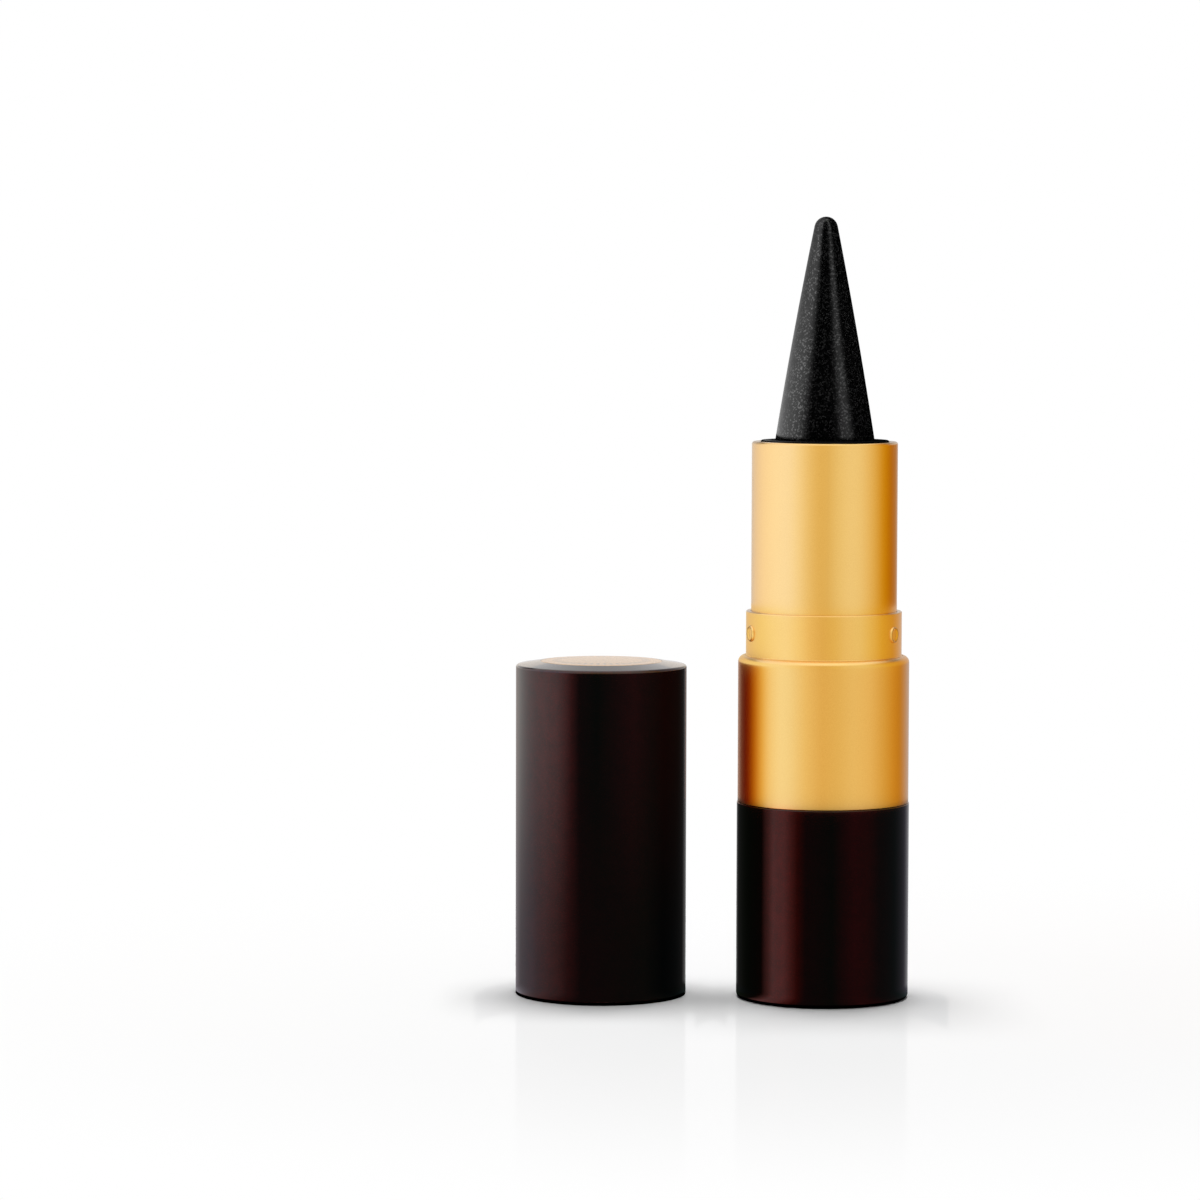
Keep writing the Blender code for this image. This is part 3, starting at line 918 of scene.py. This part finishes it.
CAP_SHADES = (
    (-180, (0.04, 0.03, 0.03)),
    (-160, (0.06, 0.05, 0.05)),
    (-142, (0.2, 0.18, 0.18)),
    (-118, (0.2, 0.18, 0.17)),
    (-99, (0.28, 0.28, 0.27)),
    (-73, (0.42, 0.41, 0.41)),
    (-55, (0.5, 0.47, 0.47)),
    (-42, (0.45, 0.39, 0.39)),
    (-34, (0.34, 0.23, 0.23)),
    (-27, (0.17, 0.08, 0.08)),
    (-20, grey(0.03)),
    (-4, (0.015, 0.03, 0.025)),
    (16, (0.05, 0.035, 0.035)),
    (30, (0.08, 0.04, 0.04)),
    (48, (0.04, 0.03, 0.025)),
    (64, (0.035, 0.013, 0.009)),
    (90, (0.015, 0.008, 0.006)),
    (108, grey(0.015)),
    (135, grey(0.24)),
    (158, (0.08, 0.07, 0.07)),
    (180, (0.04, 0.03, 0.03)),
)


def seen_directly(finish):
    """1 for what the camera, a mirror or glass shows, and 0 for what only lights, also by way of a mirror."""
    path = finish.node("ShaderNodeLightPath", {}, {})
    rays = path.output("Is Camera Ray") + path.output("Is Glossy Ray") + path.output("Is Transmission Ray")
    return (rays - path.output("Diffuse Depth")).clipped()


def make_world():
    """White to look at, and a plain even sky to be lit by."""
    world = bpy.data.worlds.new("studio")
    world.use_nodes = True
    finish = Finish(world.node_tree)
    white = finish.node("ShaderNodeBackground", {}, {"Color": (1, 1, 1, 1), "Strength": 1.0})
    fill = finish.node("ShaderNodeBackground", {}, {"Color": (1, 1, 1, 1), "Strength": SKY_LIGHT})
    shown = finish.node("ShaderNodeMixShader", {}, {0: seen_directly(finish), 1: fill, 2: white})
    finish.node("ShaderNodeOutputWorld", {}, {"Surface": shown})
    bpy.context.scene.world = world


def floor_finish():
    """White studio floor with a faint gloss. It keeps the object's shadow, and far away it is plain white."""
    material, finish = new_finish("floor_white")
    place = finish.place()
    parts = finish.node("ShaderNodeSeparateXYZ", {}, {"Vector": place})
    x, y = parts.output("X"), parts.output("Y")
    away = (x * x + y * y).root().between(FLOOR_FADE_START, FLOOR_FADE_END)
    paint = finish.node("ShaderNodeBsdfDiffuse", {}, {"Color": (1, 1, 1, 1)})
    blur = FLOOR_GLOSS_ROUGHNESS
    gloss = finish.node("ShaderNodeBsdfGlossy", {}, {"Color": (1, 1, 1, 1), "Roughness": blur})
    polished = finish.node("ShaderNodeMixShader", {}, {0: FLOOR_GLOSS, 1: paint, 2: gloss})
    white = finish.node("ShaderNodeEmission", {}, {"Color": (1, 1, 1, 1), "Strength": 1.0})
    shown = finish.node("ShaderNodeMixShader", {}, {0: away * seen_directly(finish), 1: polished, 2: white})
    finish.node("ShaderNodeOutputMaterial", {}, {"Surface": shown})
    return material


def card_finish(name, centre, stops, above, close):
    """A card that shows its shades by azimuth from its front, and nothing from behind.

    A close card shows nothing to what is further away than its reach.
    """
    material, finish = new_finish(name)
    place = finish.place(shift=(-centre[0], -centre[1], 0))
    parts = finish.node("ShaderNodeSeparateXYZ", {}, {"Vector": place})
    x, y, z = parts.output("X"), parts.output("Y"), parts.output("Z")
    turn = x.maths("ARCTAN2", x, 0 - y) / math.tau + 0.5
    shade = azimuth_shade(finish, turn, stops)
    if above:
        upper_stops, low, high = above
        shade = finish.blend(z.between(low, high), shade, azimuth_shade(finish, turn, upper_stops))
    bright = finish.node("ShaderNodeEmission", {}, {"Color": shade, "Strength": CARD_STRENGTH})
    dark = finish.node("ShaderNodeBsdfDiffuse", {}, {"Color": (0, 0, 0, 1)})
    front = finish.node("ShaderNodeMixShader", {}, {0: seen_directly(finish), 1: dark, 2: bright})
    clear = finish.node("ShaderNodeBsdfTransparent", {}, {"Color": (1, 1, 1, 1)})
    hidden = finish.node("ShaderNodeNewGeometry", {}, {}).output("Backfacing")
    if close:
        hidden = hidden + (finish.node("ShaderNodeLightPath", {}, {}).output("Ray Length") > CLOSE_REACH)
    shown = finish.node("ShaderNodeMixShader", {}, {0: hidden.clipped(), 1: front, 2: clear})
    finish.node("ShaderNodeOutputMaterial", {}, {"Surface": shown})
    return material


def azimuth_shade(finish, turn, stops):
    """The shade at a turn of 0 to 1, from (azimuth, shade) stops."""
    places = [((azimuth + 180) / 360, shade) for azimuth, shade in stops]
    return finish.node("ShaderNodeValToRGB", {"stops": places}, {"Fac": turn})


def stage_object(name, bm, material):
    """Writes a bmesh in metres as a floor or card object with its material."""
    mesh = bpy.data.meshes.new(name)
    bm.to_mesh(mesh)
    bm.free()
    mesh.materials.append(material)
    item = bpy.data.objects.new(name, mesh)
    bpy.context.scene.collection.objects.link(item)
    return item


def make_floor():
    """A wide round floor."""
    bm = bmesh.new()
    bmesh.ops.create_circle(bm, cap_ends=True, segments=FLOOR_STEPS, radius=FLOOR_RADIUS)
    return stage_object("floor", bm, floor_finish())


def make_card(name, centre, points, stops, span=(-180, 180), above=None, close=True):
    """A card round a centre, over a span of azimuths, that only reflections show.

    Points are (distance, height) in metres from the inside out. Stops are (azimuth, shade). Azimuths are in
    degrees, 0 towards the camera and growing to the right. Above is (stops, low, high): other stops, which
    take over between two heights. A close card stands round a piece, and only what is near mirrors it.
    """
    start, end = span
    bm = bmesh.new()
    verts = [bm.verts.new((0, -distance, height)) for distance, height in points]
    edges = [bm.edges.new((verts[i], verts[i + 1])) for i in range(len(verts) - 1)]
    bmesh.ops.rotate(bm, verts=verts, matrix=Matrix.Rotation(math.radians(start), 3, "Z"))
    bmesh.ops.spin(bm, geom=verts + edges, axis=(0, 0, 1), angle=math.radians(end - start), steps=ROUND_STEPS)
    bm.normal_update()
    eye = Vector((0, 0, points[0][1] + EYE_HEIGHT))
    for face in bm.faces:
        if face.normal.dot(face.calc_center_median() - eye) > 0:
            face.normal_flip()
    bmesh.ops.translate(bm, verts=bm.verts, vec=(*centre, 0))
    card = stage_object(name, bm, card_finish(name, centre, stops, above, close))
    card.visible_camera = False
    card.visible_diffuse = False
    card.visible_shadow = False
    card.visible_transmission = False
    card.visible_volume_scatter = False


def make_softbox(name, azimuth, elevation, distance, width, length, level):
    """A soft oblong lamp that faces the object. Level is how bright it makes a white card that faces it."""
    lamp = bpy.data.lights.new(name, "AREA")
    lamp.shape = "RECTANGLE"
    lamp.size = width
    lamp.size_y = length
    lamp.energy = level * (math.pi * distance) ** 2
    item = bpy.data.objects.new(name, lamp)
    bpy.context.scene.collection.objects.link(item)
    turn, rise = math.radians(azimuth), math.radians(elevation)
    way = Vector((math.sin(turn) * math.cos(rise), -math.cos(turn) * math.cos(rise), math.sin(rise)))
    item.location = Vector((STAGE_CENTRE, 0, 0)) + way * distance
    item.rotation_mode = "QUATERNION"
    item.rotation_quaternion = way.to_track_quat("Z", "Y")
    item.visible_camera = False
    item.visible_glossy = False


def upright(distance, low, high):
    """Points of an upright card, in metres."""
    return [(distance, low), (distance, high)]


def make_near_card(name, node, shades, above=None):
    """A card that stands close round a lacquered piece, as high as its side."""
    radius, _, high, place = measure(node)
    points = [
        (radius * MM, CARD_LIFT),
        (NEAR_DISTANCE, CARD_LIFT),
        (NEAR_DISTANCE, high * MM - NEAR_DROP),
    ]
    make_card(name, [value * MM for value in place], points, shades, above=above)


def make_foot_card(name, node):
    """A low dark card close round the foot of a lacquered piece: it paints a dark reflection along the foot.
    """
    radius, _, _, place = measure(node)
    inside, outside = radius * MM - FOOT_CARD_REACH, radius * MM + FOOT_CARD_REACH
    points = [(inside, FOOT_CARD_LIFT), (outside, FOOT_CARD_LIFT), (outside, FOOT_CARD_RISE)]
    make_card(name, [value * MM for value in place], points, DARK_SHADES)


def make_stage():
    """Floor, white surroundings, a lamp, and the cards that the glossy pieces mirror."""
    make_world()
    make_floor()
    make_softbox("lamp_above", azimuth=180, elevation=84, distance=0.9, width=0.4, length=0.38, level=0.95)
    make_foot_card("base_foot_card", "base_shell")
    make_foot_card("cap_foot_card", "cap_shell")
    make_near_card("base_card", "base_shell", BASE_SHADES)
    make_near_card("cap_card", "cap_shell", CAP_FOOT_SHADES, (CAP_SHADES, *NEAR_CHANGE))
    cap_place = [value * MM for value in measure("cap_shell")[3]]
    foot, cap_top, band_top, rim = (
        measure(node)[2] * MM for node in ("base_shell", "cap_shell", "collar", "tube_shell")
    )
    lip = rim + LIP_CARD_HEIGHT
    over_cap = upright(NEAR_DISTANCE, cap_top, cap_top + CAP_EDGE_RISE)
    behind_disc = upright(NEAR_DISTANCE, cap_top, cap_top + DISC_CARD_RISE)
    beside_collar = upright(COLLAR_CARD_DISTANCE, foot - NEAR_DROP, cap_top)
    beside_band = upright(COLLAR_CARD_DISTANCE, cap_top, band_top)
    beside_lip = upright(STICK_CARD_DISTANCE, rim, lip)
    beside_stick = upright(STICK_CARD_DISTANCE, lip, lip + STICK_CARD_HEIGHT)
    make_card("cap_edge_card", cap_place, over_cap, CAP_EDGE_SHADES, CAP_EDGE_SPAN)
    make_card("disc_card", cap_place, behind_disc, DISC_SHADES, BACK_SPAN)
    make_card("collar_card", (0, 0), beside_collar, COLLAR_SHADES)
    make_card("band_card", (0, 0), beside_band, BAND_SHADES)
    # The lip card is dark and only reflections show it: it paints a dark reflection on the guide tube's lip.
    make_card("lip_card", (0, 0), beside_lip, DARK_SHADES)
    make_card("stick_card", (0, 0), beside_stick, STICK_SHADES)
    wall = [
        (WALL_START, CARD_LIFT),
        (WALL_DISTANCE, CARD_LIFT),
        (WALL_DISTANCE, WALL_HEIGHT),
        (CEILING_DISTANCE, WALL_HEIGHT),
    ]
    make_card("wall", (STAGE_CENTRE, 0), wall, GOLD_SHADES, above=(CEILING_SHADES, *WALL_CHANGE), close=False)
    behind = upright(BACK_DISTANCE, *BACK_HEIGHTS)
    top_shades = (BACK_TOP_SHADES, *BACK_CHANGE)
    make_card("back_card", (STAGE_CENTRE, 0), behind, BACK_SHADES, BACK_SPAN, top_shades, close=False)


def make_camera():
    """The photograph's camera."""
    data = bpy.data.cameras.new("camera")
    data.lens = CAMERA_LENS
    data.sensor_width = CAMERA_SENSOR
    data.clip_start, data.clip_end = CAMERA_REACH
    item = bpy.data.objects.new("camera", data)
    bpy.context.scene.collection.objects.link(item)
    place = Matrix.Translation(Vector(CAMERA_PLACE) * MM)
    tilt = Matrix.Rotation(math.radians(90 + CAMERA_PITCH), 4, "X")
    roll = Matrix.Rotation(math.radians(CAMERA_ROLL), 4, "Z")
    item.matrix_world = place @ tilt @ roll
    bpy.context.scene.camera = item


def finish_node(node, material):
    """Gives a CAD node that stays its material."""
    for slot in node.material_slots:
        slot.material = material


def main():
    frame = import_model()
    gold = gold_finish("gold_anodised")
    lacquer = lacquer_finish("maroon_lacquer")
    black = plastic_finish("black_plastic", (0.004, 0.004, 0.004), (0.009, 0.009, 0.009), 0.3)
    dull_black = plastic_finish("dull_black_plastic", (0.003, 0.003, 0.003), (0.006, 0.006, 0.006), 0.4, 0.12)
    natural = plastic_finish("natural_plastic", (0.66, 0.65, 0.6), (0.74, 0.73, 0.69), 0.42)
    make_base_shell(lacquer)
    make_collar(gold)
    make_tube_shell(gold)
    make_guide_tube(dull_black)
    make_stick(kohl_finish("kohl"))
    make_cap_shell(lacquer)
    make_cap_liner(black)
    make_cap_disc(disc_finish("disc_gold", measure("cap_disc")[3]))
    finish_node(frame["nodes"]["carrier_cup"], black)
    # The base insert is given black plastic so that the thin seam between the collar and the base reads dark:
    # painted shade in that seam.
    finish_node(frame["nodes"]["base_insert"], black)
    finish_node(frame["nodes"]["spiral_sleeve"], natural)
    finish_node(frame["nodes"]["base_weight"], steel_finish("turned_steel"))
    make_stage()
    make_camera()
    bpy.context.scene.view_settings.view_transform = "Standard"


main()
